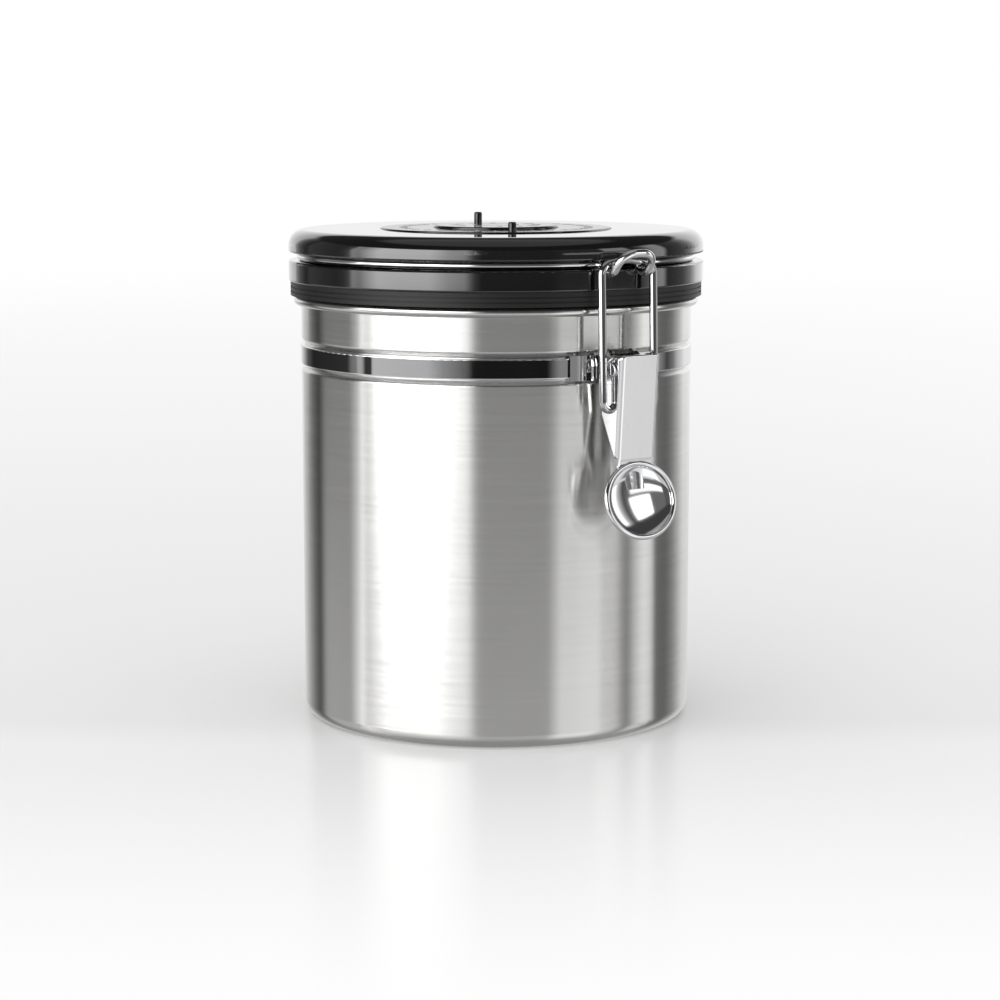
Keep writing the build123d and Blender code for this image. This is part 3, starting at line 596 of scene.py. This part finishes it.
def makeLidScrews(look):
    screw = makeTurned("screw", screwProfile(look), look["segments"])
    cutters = [recessCutter(look, alongX) for alongX in (True, False)]
    for cutter in cutters:
        cut = screw.modifiers.new("cross", "BOOLEAN")
        cut.operation = "DIFFERENCE"
        cut.solver = "EXACT"
        cut.object = cutter
    bpy.context.view_layer.update()
    oneScrew = bpy.data.meshes.new_from_object(screw.evaluated_get(bpy.context.evaluated_depsgraph_get()))
    for spare in [screw, *cutters]:
        bpy.data.objects.remove(spare)
    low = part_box("lid_screws")[0]
    whole = bmesh.new()
    for index in range(look["count"]):
        angle = math.radians(look["firstAngle"]) + index * 2 * math.pi / look["count"]
        spot = (look["circle"] * math.cos(angle), look["circle"] * math.sin(angle), low.z + look["seat"])
        copy = oneScrew.copy()
        copy.transform(Matrix.Translation(spot) @ Matrix.Rotation(angle * look["turnShare"], 4, "Z"))
        whole.from_mesh(copy)
        bpy.data.meshes.remove(copy)
    piece = addPiece("lidScrews", whole)
    piece.data.materials.append(screwSteel)
    piece.data.set_sharp_from_angle(angle=math.radians(look["sharpAngle"]))
    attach(piece, "lid")
    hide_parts("lid_screws")


makeLidScrews(screwForm)
print("rim roll, tab bowl and lid screws made")


# floor

# the floor's white, with a darker painted shade close round the can and a painted light in front of it
floorLook = {
    "radius": 4.0, "segments": 96, "paintedShadeColor": (0.82, 0.82, 0.82), "farColor": (0.93, 0.93, 0.93),
    "nearReach": 0.08, "farReach": 1.0, "roughness": 0.16, "ior": 1.17, "glowFrom": 0.5, "glowTo": 2.4,
    "frontBearing": -35.0, "frontFrom": 0.05, "frontTo": 0.32,
    "stepFrom": 0.015, "stepTo": 0.055, "paintedStepGlow": 0.25,
}


def makeFloor(look):
    shape = bmesh.new()
    bmesh.ops.create_circle(shape, cap_ends=True, segments=look["segments"], radius=look["radius"])
    floor = addPiece("floor", shape)
    material, tree, shader = newMaterial("floorWhite")
    coords = addNode(tree, "ShaderNodeTexCoord", (-900, 200))
    length = addNode(tree, "ShaderNodeVectorMath", (-700, 200), operation="LENGTH")
    tree.links.new(coords.outputs["Object"], length.inputs[0])
    # painted shade: the floor's colour darkens close round the can and fades out to its own white by a metre
    # away
    paintedShadeFade = mapRange(tree, (-500, 200), length.outputs["Value"], look["nearReach"], look["farReach"])
    color = mixColors(tree, (-250, 300), paintedShadeFade, look["paintedShadeColor"], look["farColor"])
    tree.links.new(color, shader.inputs["Base Color"])
    setInputs(shader, Roughness=look["roughness"], IOR=look["ior"])
    glow = setInputs(addNode(tree, "ShaderNodeEmission", (0, -300)), Color=(1, 1, 1, 1), Strength=1.0)
    fade = mapRange(tree, (-250, -200), length.outputs["Value"], look["glowFrom"], look["glowTo"])
    # painted light: the floor glows lighter towards the front over its own shading, first in a faint step
    # close in front of the can's middle and then fully by about a third of a metre; the floor grows
    # lighter towards the front, as the photo's does
    turn = math.radians(look["frontBearing"])
    towards = addNode(tree, "ShaderNodeVectorMath", (-700, -500), operation="DOT_PRODUCT")
    tree.links.new(coords.outputs["Object"], towards.inputs[0])
    towards.inputs[1].default_value = (math.sin(turn), -math.cos(turn), 0.0)
    forward = towards.outputs["Value"]
    paintedStepGlow = look["paintedStepGlow"]
    step = mapRange(tree, (-500, -450), forward, look["stepFrom"], look["stepTo"], 0.0, paintedStepGlow)
    paintedFrontLight = mapRange(tree, (-500, -700), forward, look["frontFrom"], look["frontTo"], 0.0, 1.0 - paintedStepGlow)
    nearer = mathNode(tree, "ADD", (-300, -550), step, paintedFrontLight)
    fade = mathNode(tree, "MAXIMUM", (-150, -450), fade, nearer)
    lightPath = addNode(tree, "ShaderNodeLightPath", (-500, -300))
    seen = mathNode(tree, "MULTIPLY", (0, -120), fade, lightPath.outputs["Is Camera Ray"])
    blend = addNode(tree, "ShaderNodeMixShader", (300, 0))
    for index, source in enumerate((seen, shader.outputs[0], glow.outputs[0])):
        tree.links.new(source, blend.inputs[index])
    tree.links.new(blend.outputs[0], tree.nodes["Material Output"].inputs["Surface"])
    floor.data.materials.append(material)
    floor.visible_glossy = False     # metal shows the studio round it, and the floor keeps its shadow


makeFloor(floorLook)
print("floor made")


# studio: soft boxes, dark cards and a white backdrop as three rows of strips in the world
studioLook = {
    # bearing in degrees, 0 towards the latch and 90 towards +X, and how bright the strip is there
    "wallStrips": [
        (-180, 0.60), (-173, 0.22), (-164, 0.06), (-158, 0.16), (-132, 0.14), (-126, 0.22), (-122, 0.60),
        (-120, 2.00), (-115, 1.70), (-109, 3.20), (-102, 5.00), (-71, 5.00), (-61, 3.20), (-52, 2.40),
        (-47, 0.45), (-43, 0.12), (-5, 0.10), (2, 0.16), (45, 0.16), (49, 0.06), (56, 0.60),
        (61, 1.60), (69, 1.50), (73, 0.12), (90, 0.22), (100, 0.55), (110, 1.20), (142, 0.93), (180, 0.90),
    ],
    "gapStrips": [
        (-180, 0.10), (-170, 0.02), (-131, 0.03), (-127, 0.20), (-124, 0.20), (-122, 0.45), (-119, 0.40),
        (-117, 0.04), (-112, 0.04), (-111, 0.55), (-75, 0.50), (-66, 0.30), (-52, 0.12), (-48, 0.01),
        (-5, 0.01), (2, 0.25), (12, 0.25), (16, 0.70), (50, 0.80), (70, 0.75), (76, 0.25), (84, 0.06),
        (92, 0.20), (98, 0.50), (111, 0.90), (160, 0.85), (180, 0.10),
    ],
    "floorStrips": [
        (-180, 0.40), (-172, 0.20), (-164, 0.08), (-156, 0.62), (-131, 0.60), (-127, 1.10), (-122, 1.40),
        (-118, 0.80), (-110, 0.75), (-60, 0.88), (-50, 0.80), (-46, 0.66), (-4, 0.66), (3, 1.25), (27, 1.25),
        (32, 0.85), (39, 0.82), (44, 0.55), (49, 0.18), (57, 0.80), (64, 0.95), (70, 0.85), (74, 0.18),
        (86, 0.16), (98, 0.34), (112, 0.75), (160, 0.80), (180, 0.40),
    ],
    "brightest": 5.0,
    # heights in degrees over the horizon, where one row ends and the next begins
    "gapHigh": -4.15, "gapLow": -7.5, "gapBlur": 0.2,
    "underfoot": 0.35, "underfootFrom": -30.0, "underfootTo": -55.0,
    "overWall": 0.05, "wallTopFrom": 26.0, "wallTopTo": 31.0,
    "ceiling": 0.35, "ceilingFrom": 52.0, "ceilingTo": 60.0,
    "diffuse": 0.95, "seen": 1.0,
}
# a long low box at the right of the latch, and a small one over it, which the bowl of the lever mirrors,
# with their places, half widths and blurs in degrees
boxLooks = [
    {"level": 1.35, "bearing": 22.0, "half": 20.0, "sideBlur": 1.5, "low": 2.0, "lowBlur": 0.5,
     "high": 9.0, "highBlur": 1.0},
    {"level": 1.8, "bearing": 35.0, "half": 9.0, "sideBlur": 1.0, "low": 11.0, "lowBlur": 1.0,
     "high": 27.0, "highBlur": 1.0},
]


def makeStrips(tree, share, strips, brightest, spot):
    ramp = addNode(tree, "ShaderNodeValToRGB", spot)
    tree.links.new(share, ramp.inputs[0])
    stops = ramp.color_ramp.elements
    stops.remove(stops[1])
    for index, (angle, level) in enumerate(strips):
        stop = stops[0] if index == 0 else stops.new(angle / 360 + 0.5)
        stop.position = angle / 360 + 0.5
        stop.color = (*[level / brightest] * 3, 1.0)
    return mixColors(tree, (spot[0] + 300, spot[1]), 1.0, ramp.outputs["Color"], [brightest] * 3, "MULTIPLY")


def boxMask(tree, bearing, rise, box, row):
    # 1 inside the box and 0 outside it, with soft edges
    off = mathNode(tree, "SUBTRACT", (-650, row), bearing, box["bearing"])
    beside = mathNode(tree, "ABSOLUTE", (-500, row), off)
    half, sideBlur = box["half"], box["sideBlur"]
    across = mapRange(tree, (-300, row), beside, half + sideBlur, half - sideBlur)
    low, lowBlur = box["low"], box["lowBlur"]
    overLow = mapRange(tree, (-300, row - 200), rise, low - lowBlur, low + lowBlur)
    high, highBlur = box["high"], box["highBlur"]
    underHigh = mapRange(tree, (-300, row - 400), rise, high + highBlur, high - highBlur)
    within = mathNode(tree, "MULTIPLY", (-50, row), across, overLow)
    return mathNode(tree, "MULTIPLY", (100, row), within, underHigh)


def makeStudio(look, boxes):
    world = bpy.data.worlds.new("studio")
    scene.world = world
    world.use_nodes = True
    tree = world.node_tree
    background = tree.nodes["Background"]
    coords = addNode(tree, "ShaderNodeTexCoord", (-1800, 0))
    parts = addNode(tree, "ShaderNodeSeparateXYZ", (-1600, 0))
    tree.links.new(coords.outputs["Generated"], parts.inputs[0])
    minusY = mathNode(tree, "MULTIPLY", (-1400, 0), parts.outputs["Y"], -1.0)
    around = mathNode(tree, "ARCTAN2", (-1200, 100), parts.outputs["X"], minusY)
    bearing = mathNode(tree, "MULTIPLY", (-1000, 100), around, 180 / math.pi)
    upward = mathNode(tree, "ARCSINE", (-1200, -200), parts.outputs["Z"])
    rise = mathNode(tree, "MULTIPLY", (-1000, -200), upward, 180 / math.pi)
    share = mathNode(tree, "MULTIPLY_ADD", (-800, 100), bearing, 1 / 360, 0.5)
    walls = makeStrips(tree, share, look["wallStrips"], look["brightest"], (-600, 300))
    gap = makeStrips(tree, share, look["gapStrips"], look["brightest"], (-600, 50))
    ground = makeStrips(tree, share, look["floorStrips"], look["brightest"], (-600, -200))
    blur = look["gapBlur"]
    inGap = mapRange(tree, (-300, -450), rise, look["gapHigh"] + blur, look["gapHigh"] - blur)
    inGround = mapRange(tree, (-300, -650), rise, look["gapLow"] + blur, look["gapLow"] - blur)
    room = mixColors(tree, (0, 100), inGap, walls, gap)
    room = mixColors(tree, (150, 100), inGround, room, ground)
    under = mapRange(tree, (-300, -850), rise, look["underfootFrom"], look["underfootTo"])
    overWall = mapRange(tree, (-300, -1050), rise, look["wallTopFrom"], look["wallTopTo"])
    above = mapRange(tree, (-300, -1250), rise, look["ceilingFrom"], look["ceilingTo"])
    layers = [(under, look["underfoot"])]
    for index, box in enumerate(boxes):
        layers.append((boxMask(tree, bearing, rise, box, -1450 - 600 * index), box["level"]))
    layers += [(overWall, look["overWall"]), (above, look["ceiling"])]
    for index, (mask, level) in enumerate(layers):
        room = mixColors(tree, (300 + 80 * index, 100), mask, room, [level] * 3)
    lightPath = addNode(tree, "ShaderNodeLightPath", (300, -300))
    glossy, through = lightPath.outputs["Is Glossy Ray"], lightPath.outputs["Is Transmission Ray"]
    mirrored = mathNode(tree, "MAXIMUM", (500, -300), glossy, through)
    lit = mixColors(tree, (800, 100), mirrored, [look["diffuse"]] * 3, room)
    final = mixColors(tree, (950, 100), lightPath.outputs["Is Camera Ray"], lit, [look["seen"]] * 3)
    tree.links.new(final, background.inputs["Color"])
    setInputs(background, Strength=1.0)


makeStudio(studioLook, boxLooks)

keyLook = {"place": (-0.75, -0.55, 0.95), "aim": (0.0, 0.0, 0.07), "size": 0.7, "power": 1.6}


def makeSoftBox(name, look):
    lamp = bpy.data.lights.new(name, "AREA")
    lamp.shape = "SQUARE"
    lamp.size = look["size"]
    lamp.energy = look["power"]
    carrier = bpy.data.objects.new(name, lamp)
    carrier.location = look["place"]
    gaze = Vector(look["aim"]) - Vector(look["place"])
    carrier.rotation_euler = gaze.to_track_quat("-Z", "Y").to_euler()
    carrier.visible_glossy = False
    scene.collection.objects.link(carrier)


makeSoftBox("keyBox", keyLook)
print("studio lit")


# camera

cameraLook = {
    "bearing": -35.0, "distance": 0.775, "height": 0.1746, "pitch": 8.317, "yaw": 0.0855,
    "lens": 96.76, "sensor": 36.0, "clipStart": 0.01,
}


def makeCamera(look):
    data = bpy.data.cameras.new("camera")
    data.lens = look["lens"]
    data.sensor_width = look["sensor"]
    data.sensor_fit = "HORIZONTAL"
    data.clip_start = look["clipStart"]
    carrier = bpy.data.objects.new("camera", data)
    bearing = math.radians(look["bearing"])
    distance = look["distance"]
    carrier.location = (distance * math.sin(bearing), -distance * math.cos(bearing), look["height"])
    carrier.rotation_euler = (math.radians(90.0 - look["pitch"]), 0.0, bearing - math.radians(look["yaw"]))
    scene.collection.objects.link(carrier)
    scene.camera = carrier


makeCamera(cameraLook)
scene.view_settings.view_transform = "Standard"
print("camera placed")
